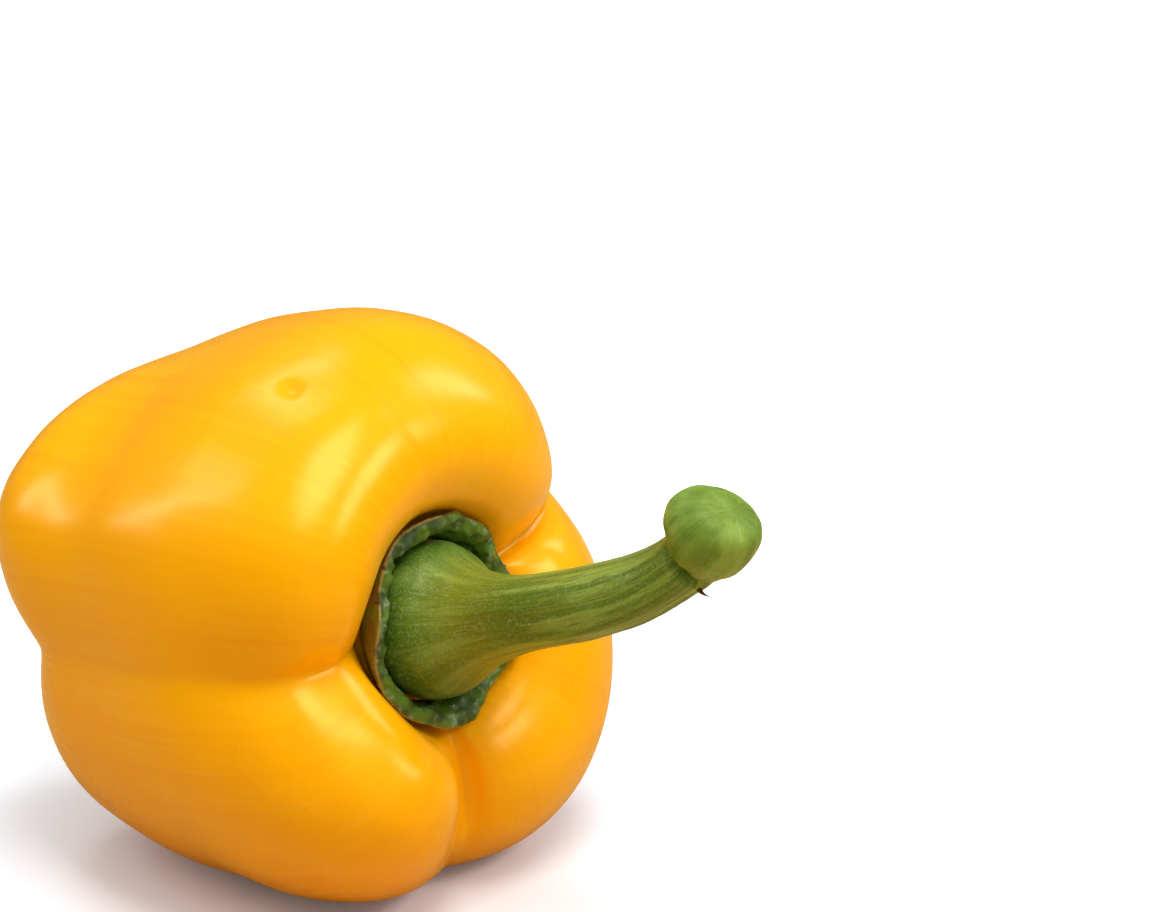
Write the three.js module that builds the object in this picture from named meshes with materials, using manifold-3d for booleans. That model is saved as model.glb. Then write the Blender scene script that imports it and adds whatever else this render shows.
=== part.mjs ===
// A yellow bell pepper lying on its side, as picked: fruit, calyx and stem.
// Millimetres, +Z up. The origin lies on the floor, under the middle of the pepper's box.
// The fruit's axis runs along X and rises towards the stem, which points along +X.
import * as THREE from 'three';
import { mergeVertices } from 'three/addons/utils/BufferGeometryUtils.js';
import Module from 'manifold-3d';

// Driving dimensions, in mm and degrees
const AXIS_RISE = 9; // how steeply the fruit's axis rises towards the stem
const FLOOR_DEPTH = 39.4; // from the middle of the fruit down to the floor, which flattens it
const PIT_OFFSET = [1.5, 2]; // how far the stem pit sits off the fruit's axis
const FOLD_ROUNDING = 0.03; // how far a fold's crease is rounded, as a share of half a lobe

// Two meridians from the stem pit to the blossom end, as [radius, height along the axis]:
// one over the crest of a lobe, one along the bottom of a fold between two lobes.
const LOBE_LINE = [
  [0, 22.1], [8.6, 21.6], [13.9, 22.6], [16.8, 26.5], [19.7, 31.4], [25.4, 34], [32.6, 31.4],
  [38.9, 23.4], [41.8, 10.6], [41.3, -2.7], [39.4, -15.9], [36.5, -27.4], [30.7, -35.8],
  [22.6, -40.2], [13.9, -39.7], [6.7, -36.7], [0, -35.3],
];
const FOLD_LINE = [
  [0, 22.1], [8.6, 21.2], [12.5, 21.2], [15.4, 22.6], [19.2, 23.4], [24, 22.9], [29.3, 20.7],
  [33.6, 15], [36, 7.1], [35.5, -3.6], [33.6, -14.1], [30.7, -23.8], [25.9, -30.4],
  [19.2, -34], [12.5, -35.3], [6.2, -35.6], [0, -35.3],
];

// Folds, counted around the axis from the +Y side: the angle at the shoulder and at the
// blossom end, and the depth on top, at the side and low down, as a share of a full fold.
const FOLDS = [
  { shoulderAngle: 19, lowAngle: 48, top: 1, side: 0.9, low: 1 },
  { shoulderAngle: 98, lowAngle: 85, top: 0.05, side: 0.05, low: 0.4 },
  { shoulderAngle: 178, lowAngle: 175, top: 1, side: 0.95, low: 1 },
  { shoulderAngle: 274, lowAngle: 288, top: 1, side: 0.75, low: 0.95 },
];

// Lobe n lies between fold n and the next one. Its reach from the axis at the shoulder, the
// waist and low down is a share of the meridians' radius. crest raises its top, spread pushes
// its shoulder outwards and tip lowers its blossom end, in mm. The smaller its arch, the
// squarer its shoulder stands between its folds.
const LOBES = [
  { shoulder: 1.25, waist: 1.218, low: 1.075, crest: 0.7, spread: -3.3, tip: 0, arch: 0.55 },
  { shoulder: 0.967, waist: 1.052, low: 1.23, crest: -0.5, spread: 2.4, tip: -1.2, arch: 0.75 },
  { shoulder: 1.022, waist: 0.98, low: 0.935, crest: 6.4, spread: 1.5, tip: 1.4, arch: 1.33 },
  { shoulder: 1.297, waist: 1.191, low: 1.18, crest: 1.2, spread: -4.1, tip: 0, arch: 0.3 },
];

// The collar's section, as [radius, height], closed on itself: base, outer wall, rim, throat.
const CALYX_SECTION = [
  [12.5, 23.2], [13.4, 23.3], [14.2, 24.4], [15.2, 26], [16.2, 27.9], [16.1, 28.8], [14.9, 29],
  [13.8, 28.2], [13.1, 26.4], [12.7, 24.6],
];
// Waves of the collar's rim: how many around, how high, and where they start in radians.
const RIM_WAVES = [
  { count: 3, height: 0.25, start: 0.7 },
  { count: 5, height: 0.3, start: 2 },
  { count: 8, height: 0.2, start: 0.3 },
];
const RIM_FROM = 24.5; // the waves grow from nothing at this height
const RIM_TO = 28.5; // to their full height here

// The stalk as [length along its centre line, radius]: flared foot, neck, shaft, swollen end.
const STEM_SECTION = [
  [0, 0], [0, 10.4], [1.6, 11.8], [4.2, 12.2], [7.2, 11.3], [10.2, 9.3], [13.8, 7.4], [18.5, 6.2],
  [24, 5.6], [33, 5.4], [42, 5.1], [50, 4.7], [54.5, 4.7], [57.3, 5.5], [59.5, 6.8], [62, 7.1],
  [64.5, 6.3], [66.2, 4.2], [66.8, 0],
];
// The stalk's centre line in the fruit's own axes: [sideways, upwards, outwards].
const STEM_LINE = [
  [1.5, 2, 22.8], [1.5, 2.2, 30], [1.5, 3.4, 39.5], [1.5, 5.1, 49.5], [1.5, 7.3, 59.7],
  [1.9, 10.6, 69.6], [2.4, 16.2, 79.3], [2.4, 21.9, 85.3],
];
const STEM_RIBS = { count: 5, height: 0.035 }; // the height is a share of the radius

// Steps of the meshes, around the axis and along the section
const FRUIT_STEPS = { around: 72, along: 44 };
const CALYX_STEPS = { around: 56, along: 16 };
const STEM_STEPS = { around: 24, along: 40 };

const { clamp, smoothstep, lerp, degToRad, euclideanModulo } = THREE.MathUtils;

// A smooth curve through flat points.
function flatCurve(points) {
  return new THREE.SplineCurve(points.map((point) => new THREE.Vector2(...point)));
}

// A half circle from pole to pole: the lathe section of a body that closes on its axis.
function poleToPole(steps) {
  return Array.from({ length: steps + 1 }, (_, i) => {
    const turn = (Math.PI * i) / steps;
    return new THREE.Vector2(i % steps ? Math.sin(turn) : 0, -Math.cos(turn));
  });
}

// A circle beside the axis: the lathe section of a ring.
function ringSection(steps) {
  return Array.from({ length: steps + 1 }, (_, i) => {
    const turn = (2 * Math.PI * (i % steps)) / steps;
    return new THREE.Vector2(2 + Math.cos(turn), Math.sin(turn));
  });
}

// A lathe body, each of whose points is moved to where place(turn, share) says. turn runs from
// 0 to 1 around the axis, and share from 0 to 1 up the outer side of the section.
function shapedLathe(section, around, place) {
  const geometry = new THREE.LatheGeometry(section, around);
  const position = geometry.getAttribute('position');
  const uv = geometry.getAttribute('uv');
  for (let i = 0; i < position.count; i += 1) {
    position.setXYZ(i, ...place(uv.getX(i) % 1, uv.getY(i)));
  }
  geometry.deleteAttribute('normal');
  geometry.deleteAttribute('uv');
  return mergeVertices(geometry, 1e-4);
}

// The fruit's surface. Each lobe spans from its fold to the next, and arches between them.
const lobeCurve = flatCurve(LOBE_LINE);
const foldCurve = flatCurve(FOLD_LINE);

// A value that is top by the pit, side down the wall and low at the blossom end.
function alongWall(share, { top, side, low }) {
  const wall = lerp(top, side, smoothstep(share, 0.28, 0.5));
  return wall + (low - side) * smoothstep(share, 0.62, 0.85);
}

function foldAngle(fold, share) {
  return lerp(fold.shoulderAngle, fold.lowAngle, smoothstep(share, 0.35, 0.8));
}

function fruitPoint(turn, upwards) {
  const share = 1 - upwards; // the meridians run down from the pit
  const lobe = Math.floor(turn * LOBES.length);
  const across = turn * LOBES.length - lobe; // 0 at this lobe's fold, 1 at the next one
  const next = (lobe + 1) % LOBES.length;
  const from = foldAngle(FOLDS[lobe], share);
  const span = euclideanModulo(foldAngle(FOLDS[next], share) - from, 360);
  const angle = degToRad(from + span * across);

  // How high the lobe stands here, from 0 in a full fold to 1 on the crest
  const near = FOLDS[across < 0.5 ? lobe : next];
  const off = 2 * Math.min(across, 1 - across);
  const rounded = (Math.hypot(off, FOLD_ROUNDING) - FOLD_ROUNDING)
    / (Math.hypot(1, FOLD_ROUNDING) - FOLD_ROUNDING);
  const curve = alongWall(share, { top: LOBES[lobe].arch, side: 1.15, low: 1 });
  const arch = Math.sin((Math.PI / 2) * Math.min(rounded, 1)) ** curve;
  const height = 1 - alongWall(share, near) * (1 - arch);

  // A lobe's own measures, which run smoothly into the neighbour's across the fold
  const neighbour = across < 0.5 ? (lobe + LOBES.length - 1) % LOBES.length : next;
  const mix = smoothstep(Math.abs(across - 0.5), 0, 1);
  const own = (key) => lerp(LOBES[lobe][key], LOBES[neighbour][key], mix);
  const body = lerp(own('shoulder'), own('waist'), smoothstep(share, 0.42, 0.58))
    + (own('low') - own('waist')) * smoothstep(share, 0.58, 0.74);
  const reach = lerp(1, body, smoothstep(share, 0.2, 0.34));

  const crest = lobeCurve.getPoint(share);
  const crease = foldCurve.getPoint(share);
  const raised = smoothstep(share, 0.12, 0.3) * (1 - smoothstep(share, 0.35, 0.55));
  const pushed = smoothstep(share, 0.2, 0.36) * (1 - smoothstep(share, 0.38, 0.55));
  const radius = lerp(crease.x, crest.x, height) * reach + own('spread') * pushed * height;
  const lowered = smoothstep(share, 0.6, 0.8) * (1 - smoothstep(share, 0.9, 1));
  const along = lerp(crease.y, crest.y, height) + own('crest') * raised - own('tip') * lowered;
  const pit = 1 - smoothstep(share, 0.1, 0.42);
  return [
    radius * Math.cos(angle) + PIT_OFFSET[0] * pit,
    radius * Math.sin(angle) + PIT_OFFSET[1] * pit,
    along,
  ];
}

// The collar: its section, with the rim pushed in and out in waves.
const calyxCurve = new THREE.CatmullRomCurve3(
  CALYX_SECTION.map(([radius, height]) => new THREE.Vector3(radius, height, 0)),
  true,
  'catmullrom',
);

function calyxPoint(turn, share) {
  const angle = 2 * Math.PI * turn;
  const { x: radius, y: height } = calyxCurve.getPoint(share);
  const wave = RIM_WAVES.reduce(
    (sum, w) => sum + w.height * Math.cos(w.count * angle + w.start),
    0,
  );
  const wavy = radius + wave * smoothstep(height, RIM_FROM, RIM_TO);
  return [
    wavy * Math.cos(angle) + PIT_OFFSET[0],
    wavy * Math.sin(angle) + PIT_OFFSET[1],
    height,
  ];
}

// The stalk: its section turned straight, then laid along its centre line.
const stemCurve = flatCurve(STEM_SECTION);
const stemPath = new THREE.CatmullRomCurve3(
  STEM_LINE.map((point) => new THREE.Vector3(...point)),
  false,
  'catmullrom',
);
const stemLength = STEM_SECTION.at(-1)[0];

function stemPoint(turn, share) {
  const angle = 2 * Math.PI * turn;
  const { x: length, y: radius } = stemCurve.getPoint(share);
  const way = clamp(length / stemLength, 0, 1);
  const out = stemPath.getTangentAt(way);
  const side = new THREE.Vector3(1, 0, 0).projectOnPlane(out).normalize();
  const up = new THREE.Vector3().crossVectors(out, side);
  const ribs = STEM_RIBS.height * Math.cos(STEM_RIBS.count * angle) * smoothstep(length, 6, 14);
  const reach = Math.max(radius, 0) * (1 + ribs);
  return stemPath.getPointAt(way)
    .addScaledVector(side, reach * Math.cos(angle))
    .addScaledVector(up, reach * Math.sin(angle))
    .toArray();
}

// Lay the pepper down: its sideways axis along +Y, and its own axis along +X and rising.
const rise = degToRad(AXIS_RISE);
const layDown = new THREE.Matrix4()
  .makeBasis(
    new THREE.Vector3(0, 1, 0),
    new THREE.Vector3(-Math.sin(rise), 0, Math.cos(rise)),
    new THREE.Vector3(Math.cos(rise), 0, Math.sin(rise)),
  )
  .setPosition(0, 0, FLOOR_DEPTH);

// Cut away what would reach below the floor, which leaves the flats that the fruit rests on.
const wasm = await Module();
wasm.setup();

function solidOf(geometry) {
  const merged = mergeVertices(geometry, 1e-4);
  return new wasm.Manifold(new wasm.Mesh({
    numProp: 3,
    vertProperties: new Float32Array(merged.getAttribute('position').array),
    triVerts: new Uint32Array(merged.index.array),
  }));
}

function cutAtFloor(geometry) {
  const size = 4 * FLOOR_DEPTH;
  const block = new THREE.BoxGeometry(size, size, size).translate(0, 0, -size / 2);
  block.deleteAttribute('normal');
  block.deleteAttribute('uv');
  const { vertProperties, triVerts } = solidOf(geometry).subtract(solidOf(block)).getMesh();
  const cut = new THREE.BufferGeometry();
  cut.setAttribute('position', new THREE.BufferAttribute(vertProperties, 3));
  cut.setIndex(new THREE.BufferAttribute(triVerts, 1));
  return cut;
}

function piece(name, geometry, color, roughness) {
  geometry.computeVertexNormals();
  const mesh = new THREE.Mesh(
    geometry,
    new THREE.MeshStandardMaterial({ color, roughness, metalness: 0 }),
  );
  mesh.name = name;
  return mesh;
}

const fruit = shapedLathe(poleToPole(FRUIT_STEPS.along), FRUIT_STEPS.around, fruitPoint);
const calyx = shapedLathe(ringSection(CALYX_STEPS.along), CALYX_STEPS.around, calyxPoint);
const stem = shapedLathe(poleToPole(STEM_STEPS.along), STEM_STEPS.around, stemPoint);

const pepper = new THREE.Group();
pepper.add(piece('fruit', cutAtFloor(fruit.applyMatrix4(layDown)), 0xffa800, 0.22));
pepper.add(piece('calyx', calyx.applyMatrix4(layDown), 0x2f5a1c, 0.55));
pepper.add(piece('stem', stem.applyMatrix4(layDown), 0x6f9a3a, 0.5));

// Put the origin under the middle of the pepper's box.
const middle = new THREE.Box3().setFromObject(pepper).getCenter(new THREE.Vector3());
pepper.position.set(-middle.x, -middle.y, 0);

export default pepper;
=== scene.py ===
# A yellow bell pepper lying on its side on a pale studio floor. Metres, in the CAD's frame.
import math

import bpy
import numpy as np
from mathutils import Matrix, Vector, noise


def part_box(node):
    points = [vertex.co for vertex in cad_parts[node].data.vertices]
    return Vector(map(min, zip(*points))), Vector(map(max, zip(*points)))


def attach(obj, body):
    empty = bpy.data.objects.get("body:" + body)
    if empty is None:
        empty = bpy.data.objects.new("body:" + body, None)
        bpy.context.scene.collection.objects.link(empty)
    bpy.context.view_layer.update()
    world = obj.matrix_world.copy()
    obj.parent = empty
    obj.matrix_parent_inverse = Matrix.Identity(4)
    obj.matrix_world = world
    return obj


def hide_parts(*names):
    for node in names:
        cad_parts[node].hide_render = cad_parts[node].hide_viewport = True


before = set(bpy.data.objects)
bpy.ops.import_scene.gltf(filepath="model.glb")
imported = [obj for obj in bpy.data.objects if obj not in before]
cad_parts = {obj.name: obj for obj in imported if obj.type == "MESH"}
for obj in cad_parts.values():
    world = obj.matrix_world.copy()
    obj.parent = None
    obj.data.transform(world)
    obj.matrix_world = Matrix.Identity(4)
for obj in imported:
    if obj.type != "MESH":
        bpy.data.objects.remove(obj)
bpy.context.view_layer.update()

MM = 0.001

# ---------------------------------------------------------------------------
# Fruit. One hollow berry with a firm wall and a tight, waxy, golden skin. It grew in four
# lobes that meet in folds, with a pit at the stem and a puckered scar at the blossom end.
# It lies on two lobes, which are pressed a little flat.

AXIS_RISE = math.radians(9)     # the fruit's axis rises towards the stem
FLOOR_DEPTH = 39.4              # mm from the middle of the fruit down to the floor
PIT_OFFSET = (1.5, 2.0)         # mm the stem pit sits off the fruit's axis
FOLD_ROUNDING = 0.03            # share of half a lobe over which a fold's crease is rounded

# Two meridians from the pit to the blossom end, as (radius, height on the axis) in mm:
# over the crest of a lobe, and along the bottom of a fold.
LOBE_LINE = [
    (0, 22.1), (8.6, 21.6), (13.9, 22.6), (16.8, 26.5), (19.7, 31.4), (25.4, 34), (32.6, 31.4),
    (38.9, 23.4), (41.8, 10.6), (41.3, -2.7), (39.4, -15.9), (36.5, -27.4), (30.7, -35.8),
    (22.6, -40.2), (13.9, -39.7), (6.7, -36.7), (0, -35.3),
]
FOLD_LINE = [
    (0, 22.1), (8.6, 21.2), (12.5, 21.2), (15.4, 22.6), (19.2, 23.4), (24, 22.9), (29.3, 20.7),
    (33.6, 15), (36, 7.1), (35.5, -3.6), (33.6, -14.1), (30.7, -23.8), (25.9, -30.4),
    (19.2, -34), (12.5, -35.3), (6.2, -35.6), (0, -35.3),
]
# Folds around the axis: angle at the shoulder and at the blossom end, and how deep each one
# is on top, at the side and low down, as a share of a full fold.
FOLDS = {
    "shoulder_angle": np.array([19, 98, 178, 274]),
    "low_angle": np.array([48, 85, 175, 288]),
    "top": np.array([1, 0.05, 1, 1]),
    "side": np.array([0.9, 0.05, 0.95, 0.75]),
    "low": np.array([1, 0.4, 1, 0.95]),
}
# Lobes, each from its fold to the next: reach from the axis as a share of the meridians'
# radius, how far the crest is raised, the shoulder pushed outwards and the blossom end
# lowered, in mm, and the arch: the smaller, the squarer the shoulder between its folds.
LOBES = {
    "shoulder": np.array([1.25, 0.967, 1.022, 1.297]),
    "waist": np.array([1.218, 1.052, 0.98, 1.191]),
    "low": np.array([1.075, 1.23, 0.935, 1.18]),
    "crest": np.array([0.7, -0.5, 6.4, 1.2]),
    "spread": np.array([-3.3, 2.4, 1.5, -4.1]),
    "tip": np.array([0, -1.2, 1.4, 0]),
    "arch": np.array([0.55, 0.75, 1.33, 0.3]),
}
FRUIT_STEPS = (384, 220)        # around the axis and along a meridian


def smooth(start, end, value):
    """0 before start, 1 after end, and an even rise between them."""
    t = np.clip((value - start) / (end - start), 0, 1)
    return t * t * (3 - 2 * t)


def mix(a, b, share):
    return a + (b - a) * share


def curve_at(points, share, closed=False):
    """Points at these shares of the way along a smooth curve through the given points."""
    known = np.array(points, float)
    count = len(known)
    spans = count if closed else count - 1
    place = np.clip(share, 0, 1) * spans
    first = np.minimum(np.floor(place).astype(int), spans - 1)
    t = (place - first)[..., None]

    def pick(index):
        return known[index % count] if closed else known[np.clip(index, 0, count - 1)]

    before, start, end, after = (pick(first + step) for step in (-1, 0, 1, 2))
    out, into = (end - before) / 2, (after - start) / 2
    return (
        (2 * start - 2 * end + out + into) * t ** 3
        + (3 * end - 3 * start - 2 * out - into) * t ** 2
        + out * t + start
    )


def along_wall(share, top, side, low):
    """top by the pit, side down the wall and low at the blossom end."""
    return (
        top + (side - top) * smooth(0.28, 0.5, share)
        + (low - side) * smooth(0.62, 0.85, share)
    )


def fruit_surface(turn, share):
    """Points of the skin in the fruit's own axes, in mm."""
    count = len(FOLDS["top"])
    lobe = np.floor(turn * count).astype(int) % count
    across = turn * count - np.floor(turn * count)
    after = (lobe + 1) % count
    angles = [
        mix(FOLDS["shoulder_angle"][i], FOLDS["low_angle"][i], smooth(0.35, 0.8, share))
        for i in (lobe, after)
    ]
    angle = np.radians(angles[0] + (angles[1] - angles[0]) % 360 * across)

    near = np.where(across < 0.5, lobe, after)
    off = 2 * np.minimum(across, 1 - across)
    rounded = (np.hypot(off, FOLD_ROUNDING) - FOLD_ROUNDING) / (
        math.hypot(1, FOLD_ROUNDING) - FOLD_ROUNDING
    )
    curve = along_wall(share, LOBES["arch"][lobe], 1.15, 1.0)
    arch = np.sin(math.pi / 2 * np.minimum(rounded, 1)) ** curve
    depth = along_wall(share, *(FOLDS[key][near] for key in ("top", "side", "low")))
    height = 1 - depth * (1 - arch)

    beside = np.where(across < 0.5, lobe - 1, after) % count
    shared = smooth(0, 1, np.abs(across - 0.5))

    def own(key):
        return mix(LOBES[key][lobe], LOBES[key][beside], shared)

    body = mix(own("shoulder"), own("waist"), smooth(0.42, 0.58, share))
    body = body + (own("low") - own("waist")) * smooth(0.58, 0.74, share)
    reach = mix(1, body, smooth(0.2, 0.34, share))

    crest, crease = curve_at(LOBE_LINE, share), curve_at(FOLD_LINE, share)
    radius = mix(crease[..., 0], crest[..., 0], height) * reach
    raised = smooth(0.12, 0.3, share) * (1 - smooth(0.35, 0.55, share))
    lowered = smooth(0.6, 0.8, share) * (1 - smooth(0.9, 1, share))
    up = mix(crease[..., 1], crest[..., 1], height) + own("crest") * raised - own("tip") * lowered
    pushed = smooth(0.2, 0.36, share) * (1 - smooth(0.38, 0.55, share))
    radius = radius + own("spread") * pushed * height
    pit = 1 - smooth(0.1, 0.42, share)
    return np.stack([
        radius * np.cos(angle) + PIT_OFFSET[0] * pit,
        radius * np.sin(angle) + PIT_OFFSET[1] * pit,
        up,
    ], -1)


def lay_down(points):
    """From the fruit's own axes to the floor's: the axis along +X and rising, in mm."""
    side, up, out = points[..., :1], points[..., 1:2], points[..., 2:]
    rise, run = math.sin(AXIS_RISE), math.cos(AXIS_RISE)
    return np.concatenate(
        [run * out - rise * up, side, rise * out + run * up + FLOOR_DEPTH], -1
    )


def grid_mesh(name, points, closed_section):
    """A mesh from rows of points around the axis. A section that isn't closed has its first
    and last rows on the axis, and each becomes one point."""
    rows, columns = points.shape[:2]
    if closed_section:
        verts = points.reshape(-1, 3)
        index = np.arange(rows * columns).reshape(rows, columns)
        lower, upper = index, np.roll(index, -1, 0)
    else:
        verts = np.concatenate([points[:1, 0], points[1:-1].reshape(-1, 3), points[-1:, 0]])
        index = np.arange((rows - 2) * columns).reshape(rows - 2, columns) + 1
        lower, upper = index[:-1], index[1:]
    quads = np.stack(
        [lower, np.roll(lower, -1, 1), np.roll(upper, -1, 1), upper], -1
    ).reshape(-1, 4)
    faces = quads.tolist()
    if not closed_section:
        last = len(verts) - 1
        for row, pole, turned in ((index[0], 0, False), (index[-1], last, True)):
            for a, b in zip(row.tolist(), np.roll(row, -1).tolist()):
                faces.append((pole, a, b) if turned else (pole, b, a))
    mesh = bpy.data.meshes.new(name)
    mesh.from_pydata((verts * MM).tolist(), [], faces)
    mesh.update()
    mesh.shade_smooth()
    return mesh


def outward(points):
    """Unit normals of a grid of points that wraps around, rows going up."""
    normal = np.cross(
        np.roll(points, -1, 1) - np.roll(points, 1, 1), np.gradient(points, axis=0)
    )
    return normal / np.maximum(np.linalg.norm(normal, axis=-1, keepdims=True), 1e-9)


def uneven(points, size, seed):
    """Smooth noise of about -0.5 to 0.5 with bumps of this size in mm, or sizes along axes."""
    flat = points.reshape(-1, 3) / size + seed
    values = [noise.noise(Vector(place)) for place in flat.tolist()]
    return np.array(values).reshape(points.shape[:-1])


def point_attribute(mesh, name, values):
    """A vector at every point of the mesh, for its material to read."""
    layer = mesh.attributes.new(name, "FLOAT_VECTOR", "POINT")
    layer.data.foreach_set("vector", np.asarray(values, np.float32).ravel())


def poles_once(rows):
    """The rows of a grid as grid_mesh stores them, with each pole a single point."""
    return np.concatenate([rows[:1, 0], rows[1:-1].reshape(-1, 3), rows[-1:, 0]])


# Shallow marks in the skin: (turn, share, radius in mm, depth in mm)
DENTS = [(0.285, 0.469, 1.7, 0.75), (0.286, 0.45, 5.0, 0.45), (0.86, 0.60, 6.0, 0.4)]
WAIST_GROOVE = (0.60, 0.055, 0.1)   # share, half width as a share, depth in mm
SWELLS = [(21, 0.55, 3.1), (8, 0.12, 7.7)]   # soft bulges: size and height in mm, and seed
FLAT_EDGE = 0.3                     # mm over which a pressed flat rounds into the wall

around, along = np.meshgrid(
    np.arange(FRUIT_STEPS[0]) / FRUIT_STEPS[0],
    1 - np.arange(FRUIT_STEPS[1]) / (FRUIT_STEPS[1] - 1),
)
skin = fruit_surface(around, along)
sink = -sum(height * uneven(skin, size, seed) for size, height, seed in SWELLS)
for turn, share, radius, depth in DENTS:
    middle = fruit_surface(np.array(turn), np.array(share))
    gap = np.linalg.norm(skin - middle, axis=-1)
    sink = sink + depth * np.exp(-((gap / radius) ** 2))
groove = np.exp(-(((along - WAIST_GROOVE[0]) / WAIST_GROOVE[1]) ** 2))
on_front_lobe = smooth(0.22, 0.3, around) * (1 - smooth(0.42, 0.5, around))
sink = sink + WAIST_GROOVE[2] * groove * on_front_lobe
outside_pit = smooth(0.1, 0.25, along)
skin = skin - outward(skin) * (sink * outside_pit)[..., None]

skin = lay_down(skin)
skin[..., 2] = (skin[..., 2] + np.hypot(skin[..., 2], FLAT_EDGE)) / 2
# The CAD's frame has its origin under the middle of the whole pepper, so the skin is moved
# to where the CAD's fruit lies, and the other pieces move with it
low_corner, high_corner = (np.array(corner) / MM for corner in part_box("fruit"))
SHIFT = (low_corner + high_corner) / 2 - (skin.min((0, 1)) + skin.max((0, 1))) / 2
SHIFT[2] = 0
fruit_mesh = grid_mesh("fruit_skin", skin + SHIFT, closed_section=False)
turned = 2 * math.pi * around
point_attribute(
    fruit_mesh, "meridian",
    poles_once(np.stack([np.cos(turned), np.sin(turned), along], -1)),
)


class Nodes:
    """A material's nodes, made and joined in one call each."""

    def __init__(self, name):
        self.material = bpy.data.materials.new(name)
        self.material.use_nodes = True
        self.tree = self.material.node_tree
        self.shader = self.tree.nodes["Principled BSDF"]

    def add(self, kind, settings=None, **inputs):
        node = self.tree.nodes.new("ShaderNode" + kind)
        for name, value in (settings or {}).items():
            setattr(node, name, value)
        for name, value in inputs.items():
            self.set(node, name.replace("_", " "), value)
        return node

    def set(self, node, name, value):
        socket = node.inputs[name]
        if isinstance(value, bpy.types.NodeSocket):
            self.tree.links.new(value, socket)
        else:
            socket.default_value = value

    def stretched(self, vector, scale):
        """The vector with each axis scaled, so that a pattern on it can run along one."""
        return self.add("Mapping", Vector=vector, Scale=scale).outputs["Vector"]

    def noise(self, vector, scale, detail=2.0, distortion=0.0):
        node = self.add(
            "TexNoise", Vector=vector, Scale=scale, Detail=detail, Distortion=distortion
        )
        return node.outputs["Fac"]

    def ramp(self, factor, stops):
        """Colours or greys at these places along the factor."""
        node = self.add("ValToRGB", Fac=factor)
        elements = node.color_ramp.elements
        while len(elements) < len(stops):
            elements.new(0.5)
        for element, (place, colour) in zip(elements, stops):
            element.position = place
            element.color = (*colour, 1) if isinstance(colour, tuple) else (colour,) * 3 + (1,)
        return node.outputs["Color"]

    def blend(self, factor, a, b, kind="MIX"):
        node = self.add("Mix", {"data_type": "RGBA", "blend_type": kind})
        for index, value in ((0, factor), (6, a), (7, b)):
            socket = node.inputs[index]
            if isinstance(value, bpy.types.NodeSocket):
                self.tree.links.new(value, socket)
            else:
                socket.default_value = value if index == 0 else (*value, 1)
        return node.outputs[2]

    def product(self, a, b):
        node = self.add("Math", {"operation": "MULTIPLY"})
        self.tree.links.new(a, node.inputs[0])
        self.tree.links.new(b, node.inputs[1])
        return node.outputs[0]

    def bump(self, height, strength, distance, normal=None):
        node = self.add("Bump", Height=height, Strength=strength, Distance=distance)
        if normal is not None:
            self.set(node, "Normal", normal)
        return node.outputs["Normal"]


def two_tone_group():
    """Patches of a second colour on a first, with soft edges, as most plant skins have."""
    tree = bpy.data.node_groups.new("two_tone", "ShaderNodeTree")
    for name, kind, value in (
        ("Vector", "NodeSocketVector", None), ("Scale", "NodeSocketFloat", 100),
        ("Detail", "NodeSocketFloat", 3), ("From", "NodeSocketFloat", 0.4),
        ("To", "NodeSocketFloat", 0.6), ("Most", "NodeSocketFloat", 1),
        ("Ground", "NodeSocketColor", None), ("Patch", "NodeSocketColor", None),
    ):
        socket = tree.interface.new_socket(name, in_out="INPUT", socket_type=kind)
        if value is not None:
            socket.default_value = value
    tree.interface.new_socket("Color", in_out="OUTPUT", socket_type="NodeSocketColor")
    tree.interface.new_socket("Mask", in_out="OUTPUT", socket_type="NodeSocketFloat")
    start, end = tree.nodes.new("NodeGroupInput"), tree.nodes.new("NodeGroupOutput")
    grain = tree.nodes.new("ShaderNodeTexNoise")
    edge = tree.nodes.new("ShaderNodeMapRange")
    edge.interpolation_type = "SMOOTHSTEP"
    tint = tree.nodes.new("ShaderNodeMix")
    tint.data_type = "RGBA"
    for out, into in (
        (start.outputs["Vector"], grain.inputs["Vector"]),
        (start.outputs["Scale"], grain.inputs["Scale"]),
        (start.outputs["Detail"], grain.inputs["Detail"]),
        (grain.outputs["Fac"], edge.inputs["Value"]),
        (start.outputs["From"], edge.inputs["From Min"]),
        (start.outputs["To"], edge.inputs["From Max"]),
        (start.outputs["Most"], edge.inputs["To Max"]),
        (edge.outputs["Result"], tint.inputs[0]),
        (start.outputs["Ground"], tint.inputs[6]),
        (start.outputs["Patch"], tint.inputs[7]),
        (tint.outputs[2], end.inputs["Color"]),
        (edge.outputs["Result"], end.inputs["Mask"]),
    ):
        tree.links.new(out, into)
    return tree


TWO_TONE = two_tone_group()


def patchy(nodes, ground, patch, vector, scale, detail=3, start=0.4, end=0.6, most=1.0):
    """The two colours in patches, and where the patches are."""
    node = nodes.add("Group", {"node_tree": TWO_TONE})
    values = {
        "Vector": vector, "Scale": scale, "Detail": detail, "From": start, "To": end,
        "Most": most, "Ground": ground, "Patch": patch,
    }
    for name, value in values.items():
        nodes.set(node, name, (*value, 1) if isinstance(value, tuple) else value)
    return node.outputs["Color"], node.outputs["Mask"]


GOLD = (0.97, 0.43, 0.0003)
AMBER = (0.94, 0.37, 0.0002)
DEEP_AMBER = (0.90, 0.28, 0.0002)
PALE = (1.0, 0.62, 0.03)

waxy = Nodes("waxy_skin")
meridian = waxy.add("Attribute", {"attribute_name": "meridian"}).outputs["Vector"]
place = waxy.add("TexCoord").outputs["Object"]
skin_colour, cloudy = patchy(
    waxy, GOLD, AMBER, place, scale=24, start=0.35, end=0.75, most=0.7
)
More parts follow.
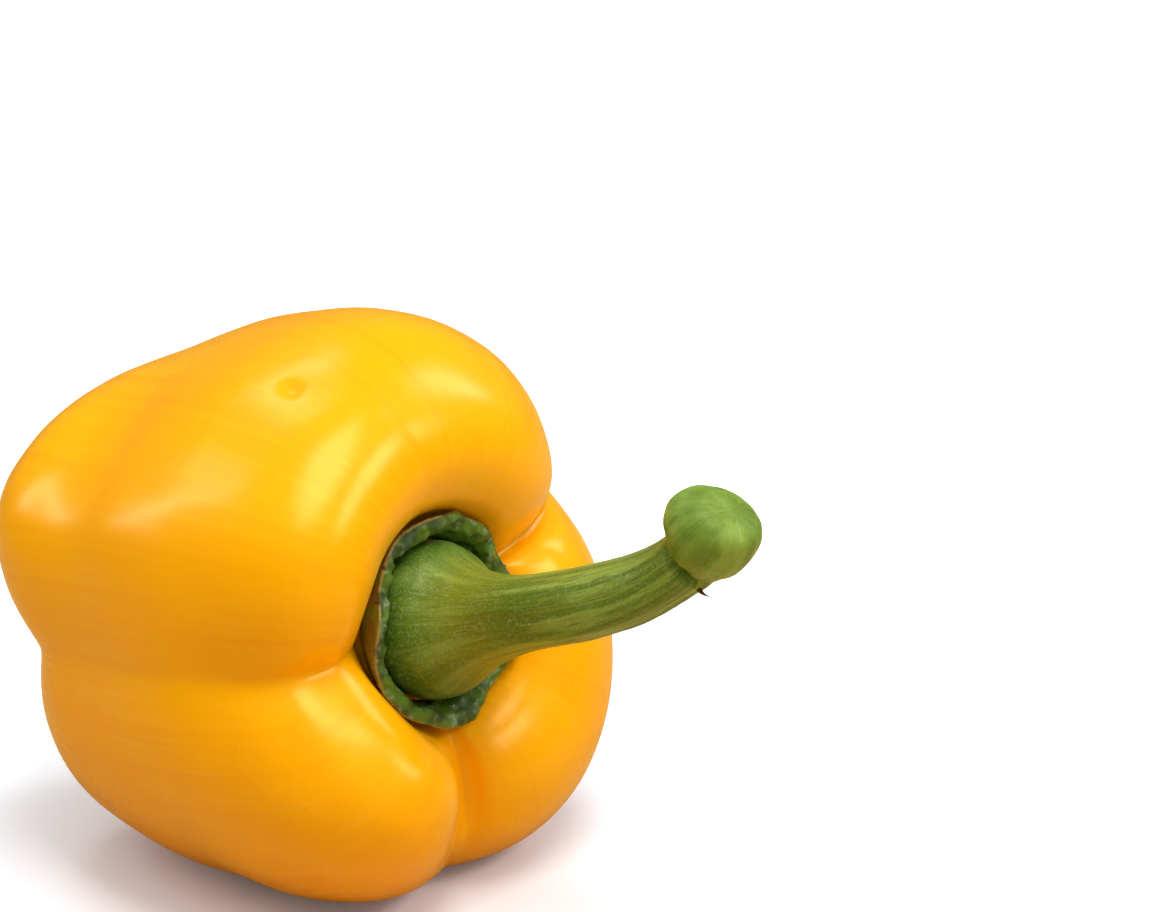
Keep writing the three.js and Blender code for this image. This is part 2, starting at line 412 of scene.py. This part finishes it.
# Broad and fine streaks run faintly from the stem to the blossom end
skin_colour, _ = patchy(
    waxy, skin_colour, DEEP_AMBER, waxy.stretched(meridian, (1, 1, 0.12)),
    scale=20, detail=2, start=0.45, end=0.9, most=0.3,
)
skin_colour, _ = patchy(
    waxy, skin_colour, PALE, waxy.stretched(meridian, (1, 1, 0.2)),
    scale=45, start=0.5, end=0.85, most=0.2,
)
# Tiny pale specks, thickest on the shoulders around the pit
cells = waxy.add("TexVoronoi", {"feature": "F1"}, Vector=place, Scale=330)
specks = waxy.ramp(cells.outputs["Distance"], [(0.03, 0.3), (0.07, 0.0)])
up_meridian = waxy.add("SeparateXYZ", Vector=meridian).outputs["Z"]
on_shoulder = waxy.ramp(up_meridian, [(0.32, 1.0), (0.42, 0.15)])
skin_colour = waxy.blend(waxy.product(specks, on_shoulder), skin_colour, PALE)
waxy.set(waxy.shader, "Base Color", skin_colour)
waxy.set(waxy.shader, "Roughness", waxy.ramp(cloudy, [(0.0, 0.24), (0.7, 0.3)]))
waxy.set(waxy.shader, "Specular IOR Level", 0.6)
waxy.set(waxy.shader, "Specular Tint", (1.0, 0.62, 0.24, 1))
waxy.set(waxy.shader, "Subsurface Weight", 0.2)
waxy.set(waxy.shader, "Subsurface Radius", (1.0, 0.4, 0.02))
waxy.set(waxy.shader, "Subsurface Scale", 0.003)
ribs = waxy.noise(waxy.stretched(meridian, (1, 1, 0.12)), 30, 4)
pores = waxy.noise(place, 900, 3)
relief = waxy.bump(ribs, 0.025, 0.0005)
waxy.set(waxy.shader, "Normal", waxy.bump(pores, 0.1, 0.00008, relief))
fruit_mesh.materials.append(waxy.material)

fruit = bpy.data.objects.new("fruit_skin", fruit_mesh)
bpy.context.collection.objects.link(fruit)
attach(fruit, "root")
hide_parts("fruit")

# ---------------------------------------------------------------------------
# Calyx. The collar of fused green leaves that grips the fruit in its pit. Its outer wall is
# smooth and olive, its rim is thin, dry and ragged, and the inside is crinkled and dark.

# The collar's section as (radius, height) in mm, closed on itself: base, outer wall, rim and
# throat
CALYX_SECTION = [
    (12.5, 23.2), (13.4, 23.3), (14.2, 24.4), (15.2, 26), (16.2, 27.9), (16.2, 28.8),
    (15.2, 29.1), (14.1, 28.6), (13.3, 27), (12.8, 24.8),
]
# Waves of the rim, outwards and along the axis: how many, mm, and start in radians. They
# grow from nothing to their full height between two heights on the axis.
RIM_WAVES = [(3, 0.25, 0.7), (5, 0.3, 2.0), (8, 0.2, 0.3)]
RIM_DIPS = [(4, 0.5, 1.0), (9, 0.3, -math.pi / 2)]
RIM_BETWEEN = (24.5, 28.5)
RIM_POINTS = [(72, 1.1), (40, 0.6), (-26, 1.0), (-78, 1.3), (205, 0.7)]   # degrees, mm
POINT_WIDTH = 7                                                           # degrees
# Wrinkles of the leaf, full on its inside: size and height in mm, and seed
WRINKLES = [((3.4, 3.4, 3.4 / 0.6), 1.0, 5.5), ((1.3, 1.3, 1.3), 0.5, 9.1)]
OUTSIDE_WRINKLES = 0.12             # how high they are on the outside, as a share
CALYX_STEPS = (360, 96)

around, along = np.meshgrid(
    np.arange(CALYX_STEPS[0]) / CALYX_STEPS[0], np.arange(CALYX_STEPS[1]) / CALYX_STEPS[1]
)
section = curve_at(CALYX_SECTION, along, closed=True)
radius, height = section[..., 0], section[..., 1]
turned = 2 * math.pi * around
to_rim = smooth(*RIM_BETWEEN, height)
wave, dip = (
    sum(size * np.cos(count * turned + start) for count, size, start in waves)
    for waves in (RIM_WAVES, RIM_DIPS)
)
for degrees, size in RIM_POINTS:
    away = (np.degrees(turned) - degrees + 180) % 360 - 180
    wave = wave + size * np.exp(-np.abs(away / POINT_WIDTH) ** 1.3) * smooth(27, 29, height)
height = height + dip * to_rim
radius = radius + wave * to_rim
collar = np.stack([radius * np.cos(turned), radius * np.sin(turned), height], -1)
inside = smooth(0.5, 0.58, along) * (1 - smooth(0.88, 0.97, along))
crinkle = sum(depth * uneven(collar, size, seed) for size, depth, seed in WRINKLES)
crinkle = crinkle * mix(OUTSIDE_WRINKLES, 1, inside) * smooth(23.5, 26, height)
collar = collar + outward(collar) * crinkle[..., None]
collar = collar + (*PIT_OFFSET, 0)
calyx_mesh = grid_mesh("calyx_collar", lay_down(collar) + SHIFT, closed_section=True)
point_attribute(
    calyx_mesh, "section",
    np.stack([np.cos(turned), np.sin(turned), along], -1).reshape(-1, 3),
)

LEAF_GREEN = (0.085, 0.165, 0.008)
LEAF_DARK = (0.03, 0.06, 0.006)
OLIVE_BROWN = (0.20, 0.13, 0.012)
FROST = (0.24, 0.31, 0.15)
DRY_EDGE = (0.34, 0.22, 0.05)
DRY_DARK = (0.10, 0.05, 0.012)
OLIVE_GREEN = (0.17, 0.20, 0.012)

leaf = Nodes("crinkled_leaf")
place = leaf.add("TexCoord").outputs["Object"]
around_section = leaf.add("Attribute", {"attribute_name": "section"}).outputs["Vector"]
up_section = leaf.add("SeparateXYZ", Vector=around_section).outputs["Z"]
inner_colour, mottle = patchy(
    leaf, LEAF_GREEN, LEAF_DARK, place, scale=330, detail=5, start=0.42, end=0.62
)
inner_colour, frosty = patchy(
    leaf, inner_colour, FROST, place, scale=560, detail=4, start=0.54, end=0.7, most=0.8
)
outer_colour, _ = patchy(leaf, OLIVE_GREEN, OLIVE_BROWN, place, scale=190, detail=4)
is_outer = leaf.ramp(up_section, [(0.40, 1.0), (0.47, 0.0)])
leaf_colour = leaf.blend(is_outer, inner_colour, outer_colour)
dry, _ = patchy(leaf, DRY_EDGE, DRY_DARK, place, scale=300, start=0.5, end=0.65)
edge = leaf.ramp(up_section, [(0.44, 0.0), (0.47, 0.85), (0.50, 0.85), (0.53, 0.0)])
leaf_colour = leaf.blend(edge, leaf_colour, dry)
leaf.set(leaf.shader, "Base Color", leaf_colour)
leaf.set(leaf.shader, "Roughness", leaf.ramp(mottle, [(0.0, 0.4), (1.0, 0.6)]))
leaf.set(leaf.shader, "Normal", leaf.bump(frosty, 0.5, 0.0003))
calyx_mesh.materials.append(leaf.material)

calyx = bpy.data.objects.new("calyx_collar", calyx_mesh)
bpy.context.collection.objects.link(calyx)
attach(calyx, "root")
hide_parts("calyx")

# ---------------------------------------------------------------------------
# Stem. A thick ribbed stalk, solid and green, that swells into the calyx at its foot and
# into a blunt knob at the end, where it broke away from the plant at its joint.

# The stalk as (length along its centre line, radius) in mm: foot, neck, shaft and knob
STEM_SECTION = [
    (0, 0), (0, 10.4), (1.6, 11.8), (4.2, 12.2), (7.2, 11.3), (10.2, 9.3), (13.8, 7.4),
    (18.5, 6.2), (24, 5.6), (33, 5.4), (42, 5.1), (50, 4.7), (54.5, 4.7), (57.3, 5.5),
    (59.5, 6.8), (62, 7.1), (64.5, 6.3), (66.2, 4.2), (66.8, 0),
]
# Its centre line in the fruit's own axes, as (sideways, upwards, outwards) in mm
STEM_LINE = [
    (1.5, 2, 22.8), (1.5, 2.2, 30), (1.5, 3.4, 39.5), (1.5, 5.1, 49.5), (1.5, 7.3, 59.7),
    (1.9, 10.6, 69.6), (2.4, 16.2, 79.3), (2.4, 21.9, 85.3),
]
# Ribs: how many, how high as a share of the radius, start in radians, and the lengths in mm
# between which they rise from nothing
RIBS = (5, 0.035, 0, 6, 14)
FINE_RIBS = (13, 0.006, 1, 12, 20)
KNOB_LEAN = (95, 0.12)          # degrees around, and how much fuller the knob is there
KNOB_FROM, KNOB_TO = (54, 59), (63, 66.8)   # lengths over which that comes and goes
RIBS_END = (54, 60)             # lengths over which RIBS die out at the knob
# Creases: degrees around, length, half widths in degrees and mm, and depth in mm
STEM_DENTS = [
    (205, 56.0, 45, 0.8, 2.4), (205, 57.5, 12, 0.9, 0.35), (100, 57.5, 25, 0.9, 0.5),
    (215, 61.2, 14, 0.35, 0.25), (150, 62.4, 6, 1.8, 0.3),
]
STEM_LUMPS = [(7, 0.15, 2.2), (1.6, 0.04, 4.4)]   # size and height in mm, and seed
STEM_STEPS = (200, 420)
LINE_STEPS = 2000               # for measuring length along the centre line
STALK_UNIT = 10                 # mm of the stalk to one unit of its pattern

shares = np.linspace(0, 1, LINE_STEPS)
line = curve_at(STEM_LINE, shares)
reached = np.concatenate([[0], np.cumsum(np.linalg.norm(np.diff(line, axis=0), axis=1))])
around, along = np.meshgrid(
    np.arange(STEM_STEPS[0]) / STEM_STEPS[0], np.linspace(0, 1, STEM_STEPS[1])
)
section = curve_at(STEM_SECTION, along)
length = np.clip(section[..., 0], 0, STEM_SECTION[-1][0])
way = length / STEM_SECTION[-1][0] * reached[-1]
centre = np.stack([np.interp(way, reached, line[:, axis]) for axis in range(3)], -1)
heading = np.gradient(line, axis=0)
heading = np.stack([np.interp(way, reached, heading[:, axis]) for axis in range(3)], -1)
heading = heading / np.linalg.norm(heading, axis=-1, keepdims=True)
sideways = np.array([1.0, 0, 0]) - heading * heading[..., :1]
sideways = sideways / np.linalg.norm(sideways, axis=-1, keepdims=True)
upwards = np.cross(heading, sideways)
turned = 2 * math.pi * around
ribs, fine_ribs = (
    height * np.cos(count * turned + start) * smooth(none, full, length)
    for count, height, start, none, full in (RIBS, FINE_RIBS)
)
before_knob = 1 - smooth(*RIBS_END, length)
on_knob = smooth(*KNOB_FROM, length) * (1 - smooth(*KNOB_TO, length))
lean = KNOB_LEAN[1] * np.cos(turned - math.radians(KNOB_LEAN[0])) * on_knob
reach = np.maximum(section[..., 1], 0) * (1 + ribs * before_knob + fine_ribs + lean)
for degrees, at, half_turn, half_length, depth in STEM_DENTS:
    away = (np.degrees(turned) - degrees + 180) % 360 - 180
    reach = reach - depth * np.exp(-((away / half_turn) ** 2) - ((length - at) / half_length) ** 2)
reach = np.maximum(reach, 0)[..., None]
stalk = centre + reach * (
    np.cos(turned)[..., None] * sideways + np.sin(turned)[..., None] * upwards
)
lumps = sum(height * uneven(stalk, size, seed) for size, height, seed in STEM_LUMPS)
stalk = stalk + outward(stalk) * (lumps * smooth(2, 6, length))[..., None]
stem_mesh = grid_mesh("stem_stalk", lay_down(stalk) + SHIFT, closed_section=False)
point_attribute(
    stem_mesh, "stalk",
    poles_once(np.stack([np.cos(turned), np.sin(turned), length / STALK_UNIT], -1)),
)

STEM_GREEN = (0.085, 0.16, 0.007)
STEM_LIGHT = (0.22, 0.33, 0.045)
STEM_DARK = (0.05, 0.10, 0.006)
STEM_YELLOW = (0.24, 0.235, 0.008)
STEM_FROST = (0.40, 0.47, 0.24)
FOOT_GREEN = (0.055, 0.125, 0.003)

green = Nodes("ribbed_stalk")
stalk_place = green.add("Attribute", {"attribute_name": "stalk"}).outputs["Vector"]
place = green.add("TexCoord").outputs["Object"]
up_stalk = green.add("SeparateXYZ", Vector=stalk_place).outputs["Z"]
along_stalk = green.add(
    "MapRange", Value=up_stalk, From_Max=STEM_SECTION[-1][0] / STALK_UNIT
).outputs["Result"]
length_ways = green.stretched(stalk_place, (1, 1, 0.14))
stem_colour, _ = patchy(
    green, STEM_GREEN, STEM_LIGHT, length_ways, scale=4.5, detail=5, start=0.42, end=0.62, most=0.9
)
stem_colour, _ = patchy(
    green, stem_colour, STEM_DARK, length_ways, scale=9, detail=5, start=0.54, end=0.68, most=0.75
)
foot_colour, blotches = patchy(
    green, FOOT_GREEN, STEM_LIGHT, place, scale=150, detail=5, start=0.48, end=0.72, most=0.7
)
foot = green.ramp(along_stalk, [(0.08, 1.0), (0.2, 0.0)])
stem_colour = green.blend(foot, stem_colour, foot_colour)
neck = green.ramp(along_stalk, [(0.12, 0.0), (0.2, 0.45), (0.27, 0.35), (0.36, 0.0)])
stem_colour = green.blend(neck, stem_colour, STEM_YELLOW)
stem_colour, _ = patchy(
    green, stem_colour, STEM_FROST, green.stretched(place, (1, 1.3, 0.8)),
    scale=2400, detail=2, start=0.45, end=0.8, most=0.35,
)
knob_colour, _ = patchy(
    green, STEM_LIGHT, STEM_GREEN, place, scale=170, detail=4, end=0.62, most=0.8
)
knob = green.ramp(along_stalk, [(0.84, 0.0), (0.9, 0.75)])
stem_colour = green.blend(knob, stem_colour, knob_colour)
green.set(green.shader, "Base Color", stem_colour)
green.set(green.shader, "Roughness", green.ramp(blotches, [(0.0, 0.36), (0.7, 0.5)]))
green.set(green.shader, "Specular Tint", (1.0, 1.0, 0.55, 1))
green.set(green.shader, "Specular IOR Level", 0.4)
fibre = green.noise(green.stretched(stalk_place, (1, 1, 0.08)), 16, 4)
fine_grain = green.noise(place, 1400, 3)
relief = green.bump(fibre, 0.5, 0.0004)
green.set(green.shader, "Normal", green.bump(fine_grain, 0.25, 0.00012, relief))
stem_mesh.materials.append(green.material)

stem = bpy.data.objects.new("stem_stalk", stem_mesh)
bpy.context.collection.objects.link(stem)
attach(stem, "root")
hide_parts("stem")

# ---------------------------------------------------------------------------
# Spur. The dry brown tip of a bract that withered under the stalk, just before its knob. It
# grows out of the stalk's skin and curls towards the knob.

SPUR_PLACE = (0.73, 0.665)      # around the stalk, and along its steps
SPUR_SIZE = (0.5, 2.3)          # radius and length in mm
SPUR_ROOT = 0.15                # how much of it is in the stalk, as a share
SPUR_CURL = 0.7                 # how far its tip bends to the knob, as a share of its length
SPUR_STEPS = (12, 9)

column, row = (int(share * steps) for share, steps in zip(SPUR_PLACE, STEM_STEPS))
root = stalk[row, column]
out = outward(stalk)[row, column]
forward = heading[row, column]
aside = np.cross(forward, out)
around, along = np.meshgrid(
    np.arange(SPUR_STEPS[0]) / SPUR_STEPS[0], np.linspace(0, 1, SPUR_STEPS[1])
)
turned = 2 * math.pi * around
thickness, spur_length = SPUR_SIZE
reach = thickness * np.sqrt(1 - along) * smooth(0, 0.06, along) * (1 - 0.4 * along)
spine = root + (
    out * ((along - SPUR_ROOT) * spur_length)[..., None]
    + forward * (along ** 2 * SPUR_CURL * spur_length)[..., None]
)
spur = spine + reach[..., None] * (
    np.cos(turned)[..., None] * aside - np.sin(turned)[..., None] * forward
)
spur_mesh = grid_mesh("dry_spur", lay_down(spur) + SHIFT, closed_section=False)

SPUR_BROWN = (0.10, 0.035, 0.008)
SPUR_TAN = (0.32, 0.17, 0.05)
woody = Nodes("dry_spur")
place = woody.add("TexCoord").outputs["Object"]
spur_colour, _ = patchy(woody, SPUR_BROWN, SPUR_TAN, place, scale=1500, start=0.45, end=0.7)
woody.set(woody.shader, "Base Color", spur_colour)
woody.set(woody.shader, "Roughness", 0.7)
spur_mesh.materials.append(woody.material)

spur_piece = bpy.data.objects.new("dry_spur", spur_mesh)
bpy.context.collection.objects.link(spur_piece)
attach(spur_piece, "root")

# ---------------------------------------------------------------------------
# Dry flecks. Scraps of papery brown skin that peel along the collar's rim, where its thin
# edge has died back. They lie flat on the collar.

FLECK_SIZE = 1.3                # mm
FLECKS_PER_M2 = 160000
FLECK_SEED = 11
RIM_BAND = (0.40, 0.52)         # where they lie, as shares of the collar's section
# The least and the most length, width and thickness, as shares of their size
LEAST_FLECK, MOST_FLECK = (0.35, 0.25, 0.08), (1.1, 0.6, 0.2)

papery = Nodes("papery_fleck")
place = papery.add("TexCoord").outputs["Object"]
fleck_colour, _ = patchy(papery, DRY_EDGE, SPUR_BROWN, place, scale=900)
papery.set(papery.shader, "Base Color", fleck_colour)
papery.set(papery.shader, "Roughness", 0.75)


def fleck_tree():
    """Small uneven lumps scattered on a band of the collar."""
    tree = bpy.data.node_groups.new("scatter_flecks", "GeometryNodeTree")
    tree.interface.new_socket("Geometry", in_out="INPUT", socket_type="NodeSocketGeometry")
    for name, kind in (
        ("Size", "NodeSocketFloat"), ("Density", "NodeSocketFloat"), ("Seed", "NodeSocketInt"),
        ("Least", "NodeSocketVector"), ("Most", "NodeSocketVector"),
        ("Band Start", "NodeSocketFloat"), ("Band End", "NodeSocketFloat"),
        ("Material", "NodeSocketMaterial"),
    ):
        tree.interface.new_socket(name, in_out="INPUT", socket_type=kind)
    tree.interface.new_socket("Geometry", in_out="OUTPUT", socket_type="NodeSocketGeometry")

    def node(kind, **settings):
        made = tree.nodes.new(kind)
        for name, value in settings.items():
            setattr(made, name, value)
        return made

    start, end = node("NodeGroupInput"), node("NodeGroupOutput")
    place = node("GeometryNodeInputNamedAttribute", data_type="FLOAT_VECTOR")
    place.inputs["Name"].default_value = "section"
    parts = node("ShaderNodeSeparateXYZ")
    above = node("FunctionNodeCompare", operation="GREATER_THAN")
    below = node("FunctionNodeCompare", operation="LESS_THAN")
    both = node("FunctionNodeBooleanMath", operation="AND")
    scatter = node("GeometryNodeDistributePointsOnFaces")
    lump = node("GeometryNodeMeshIcoSphere")
    lump.inputs["Subdivisions"].default_value = 2
    flat = node("FunctionNodeRandomValue", data_type="FLOAT_VECTOR")
    stick = node("GeometryNodeInstanceOnPoints")
    whole = node("GeometryNodeRealizeInstances")
    paint = node("GeometryNodeSetMaterial")
    for out, into in (
        (place.outputs["Attribute"], parts.inputs[0]),
        (parts.outputs["Z"], above.inputs[0]), (start.outputs["Band Start"], above.inputs[1]),
        (parts.outputs["Z"], below.inputs[0]), (start.outputs["Band End"], below.inputs[1]),
        (above.outputs[0], both.inputs[0]), (below.outputs[0], both.inputs[1]),
        (start.outputs["Geometry"], scatter.inputs["Mesh"]),
        (both.outputs[0], scatter.inputs["Selection"]),
        (start.outputs["Density"], scatter.inputs["Density"]),
        (start.outputs["Seed"], scatter.inputs["Seed"]),
        (scatter.outputs["Points"], stick.inputs["Points"]),
        (scatter.outputs["Rotation"], stick.inputs["Rotation"]),
        (lump.outputs["Mesh"], stick.inputs["Instance"]),
        (start.outputs["Size"], lump.inputs["Radius"]),
        (start.outputs["Seed"], flat.inputs["Seed"]),
        (start.outputs["Least"], flat.inputs["Min"]),
        (start.outputs["Most"], flat.inputs["Max"]),
        (flat.outputs[0], stick.inputs["Scale"]),
        (stick.outputs["Instances"], whole.inputs["Geometry"]),
        (whole.outputs["Geometry"], paint.inputs["Geometry"]),
        (start.outputs["Material"], paint.inputs["Material"]),
        (paint.outputs["Geometry"], end.inputs["Geometry"]),
    ):
        tree.links.new(out, into)
    return tree


scattered = bpy.data.objects.new("scattered", calyx_mesh.copy())
bpy.context.collection.objects.link(scattered)
scatter = scattered.modifiers.new("flecks", "NODES")
scatter.node_group = fleck_tree()
fleck_values = {
    "Size": FLECK_SIZE / 2 * MM, "Density": FLECKS_PER_M2, "Seed": FLECK_SEED,
    "Least": LEAST_FLECK, "Most": MOST_FLECK,
    "Band Start": RIM_BAND[0], "Band End": RIM_BAND[1], "Material": papery.material,
}
for item in scatter.node_group.interface.items_tree:
    if item.name in fleck_values and item.in_out == "INPUT":
        scatter[item.identifier] = fleck_values[item.name]
ready = scattered.evaluated_get(bpy.context.evaluated_depsgraph_get())
fleck_mesh = bpy.data.meshes.new_from_object(ready)
fleck_mesh.name = "rim_flecks"
scattered.modifiers.remove(scatter)
bpy.data.objects.remove(scattered)
flecks = bpy.data.objects.new("rim_flecks", fleck_mesh)
bpy.context.collection.objects.link(flecks)
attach(flecks, "root")

# ---------------------------------------------------------------------------
# Studio. A pale seamless floor, soft boxes to the left, to the right, above and behind, and
# a long lens that looks down a little on the pepper from its stem side.

FLOOR_REACH = 4.0               # m from the middle to each edge
FLOOR_BOUNCE = (0.60, 0.42, 0.17)   # what the floor throws back on the pepper
FLOOR_WHITE = (0.88, 0.93, 0.98)    # what the lens sees
GLOW_COLOUR = (0.96, 0.99, 1.0, 1)
GLOW_FROM, GLOW_TO = (0.045, 0.06), (0.2, 0.55)   # metres from the middle, and strength
ROOM_LIGHT = 0.14

floor_mesh = bpy.data.meshes.new("studio_floor")
floor_mesh.from_pydata(
    [(x * FLOOR_REACH, y * FLOOR_REACH, 0) for x, y in ((-1, -1), (1, -1), (1, 1), (-1, 1))],
    [], [(0, 1, 2, 3)],
)
floor_paint = Nodes("floor_paint")
floor_seen = floor_paint.add("LightPath").outputs["Is Camera Ray"]
floor_paint.set(
    floor_paint.shader, "Base Color",
    floor_paint.blend(floor_seen, FLOOR_BOUNCE, FLOOR_WHITE),
)
floor_paint.set(floor_paint.shader, "Roughness", 0.6)
# The floor glows white to the lens, faintly under the pepper and more all around it, like a
# sweep of paper that is lit by lamps of its own
place = floor_paint.add("TexCoord").outputs["Object"]
away = floor_paint.add("VectorMath", {"operation": "LENGTH"}, Vector=place).outputs["Value"]
glow = floor_paint.add(
    "MapRange", Value=away, From_Min=GLOW_FROM[0], From_Max=GLOW_TO[0],
    To_Min=GLOW_FROM[1], To_Max=GLOW_TO[1],
).outputs["Result"]
floor_paint.set(floor_paint.shader, "Emission Color", GLOW_COLOUR)
floor_paint.set(floor_paint.shader, "Emission Strength", floor_paint.product(glow, floor_seen))
floor_mesh.materials.append(floor_paint.material)
floor = bpy.data.objects.new("studio_floor", floor_mesh)
bpy.context.collection.objects.link(floor)

VIEW_AZIMUTH, VIEW_ELEVATION = math.radians(38.6), math.radians(17.3)
VIEW_DISTANCE = 0.5075
LENS = 100
SENSOR = 36
PICTURE = (1156, 912)
# Where the middle of the fruit stands in the frame, as shares of its width and height
SUBJECT_PLACE = (0.265, 0.684)

back = Vector((
    math.sin(VIEW_AZIMUTH) * math.cos(VIEW_ELEVATION),
    -math.cos(VIEW_AZIMUTH) * math.cos(VIEW_ELEVATION),
    math.sin(VIEW_ELEVATION),
))
right = Vector((math.cos(VIEW_AZIMUTH), math.sin(VIEW_AZIMUTH), 0))
upright = back.cross(right)
frame_width = SENSOR / LENS * VIEW_DISTANCE
frame_height = frame_width * PICTURE[1] / PICTURE[0]
middle = Vector(SHIFT * MM) + Vector((0, 0, FLOOR_DEPTH * MM))
aim = (
    middle - right * (SUBJECT_PLACE[0] - 0.5) * frame_width
    + upright * (SUBJECT_PLACE[1] - 0.5) * frame_height
)
camera_data = bpy.data.cameras.new("studio_camera")
camera_data.lens = LENS
camera_data.sensor_width = SENSOR
camera = bpy.data.objects.new("studio_camera", camera_data)
camera.location = aim + back * VIEW_DISTANCE
camera.rotation_euler = back.to_track_quat("Z", "Y").to_euler()
bpy.context.collection.objects.link(camera)
bpy.context.scene.camera = camera

# Soft boxes: name, degrees to the right of the camera, degrees up, distance in m, width and
# height in m, and power in watts
SOFT_BOXES = [
    ("left_box", -92, 36, 0.9, 0.09, 0.62, 1.9),
    ("right_box", 73, 38, 0.9, 0.34, 0.24, 2.6),
    ("far_right_box", 122, 42, 0.9, 0.16, 0.46, 1.35),
    ("top_box", 34, 70, 1.0, 0.46, 0.46, 6.0),
    ("back_box", -148, 60, 1.0, 0.34, 0.20, 1.0),
]
# Broad, even lights that are kept out of the skin's gloss
FILLS = [
    ("ceiling_fill", -30, 74, 1.6, 2.2, 2.2, 12.5),
    ("front_fill", 30, 25, 1.6, 1.6, 1.0, 4.5),
]
level_back = Vector((math.sin(VIEW_AZIMUTH), -math.cos(VIEW_AZIMUTH), 0))
for name, swing, lift, distance, width, height, power in SOFT_BOXES + FILLS:
    lamp = bpy.data.lights.new(name, "AREA")
    lamp.shape = "RECTANGLE"
    lamp.size, lamp.size_y = width, height
    lamp.energy = power
    box = bpy.data.objects.new(name, lamp)
    swing, lift = math.radians(swing), math.radians(lift)
    toward = (
        (level_back * math.cos(swing) + right * math.sin(swing)) * math.cos(lift)
        + Vector((0, 0, math.sin(lift)))
    )
    box.location = middle + toward * distance
    box.rotation_euler = toward.to_track_quat("Z", "Y").to_euler()
    box.visible_glossy = name.endswith("box")
    bpy.context.collection.objects.link(box)

world = bpy.data.worlds.new("studio_air")
world.use_nodes = True
air = world.node_tree
room = air.nodes["Background"]
room.inputs["Color"].default_value = (1, 1, 1, 1)
room.inputs["Strength"].default_value = ROOM_LIGHT
backdrop = air.nodes.new("ShaderNodeBackground")
backdrop.inputs["Color"].default_value = (1, 1, 1, 1)
seen = air.nodes.new("ShaderNodeLightPath")
either = air.nodes.new("ShaderNodeMixShader")
air.links.new(seen.outputs["Is Camera Ray"], either.inputs[0])
air.links.new(room.outputs[0], either.inputs[1])
air.links.new(backdrop.outputs[0], either.inputs[2])
air.links.new(either.outputs[0], air.nodes["World Output"].inputs["Surface"])
bpy.context.scene.world = world
bpy.context.scene.view_settings.view_transform = "Standard"
